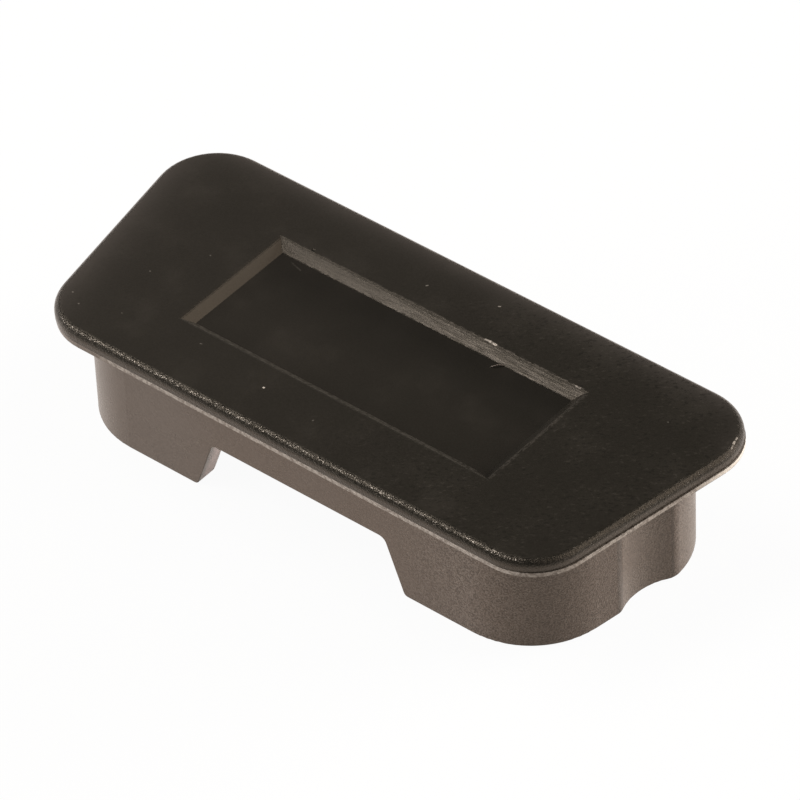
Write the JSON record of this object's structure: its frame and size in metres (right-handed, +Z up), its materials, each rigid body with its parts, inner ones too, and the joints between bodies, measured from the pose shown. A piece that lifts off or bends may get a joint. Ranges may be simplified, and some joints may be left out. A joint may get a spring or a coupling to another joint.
{
  "type": "d-sub dust cap",
  "caption": "Black plastic dust cap for a D-sub connector: a D-shaped skirt with end grooves and a front notch, closed by a thin flange with a sunken label field.",
  "frame": {"origin": "middle of the skirt's mouth, on the plane that the cap stands on", "axes": "+Z up from the mouth to the flange, +X along the cap, +Y to the wide side of the D"},
  "size_m": [0.0314, 0.0138, 0.0063],
  "materials": {
    "black_plastic": "satin, fine moulded grain"
  },
  "bodies": {
    "root": {"dust_cap": "black_plastic"}
  },
  "joints": []
}
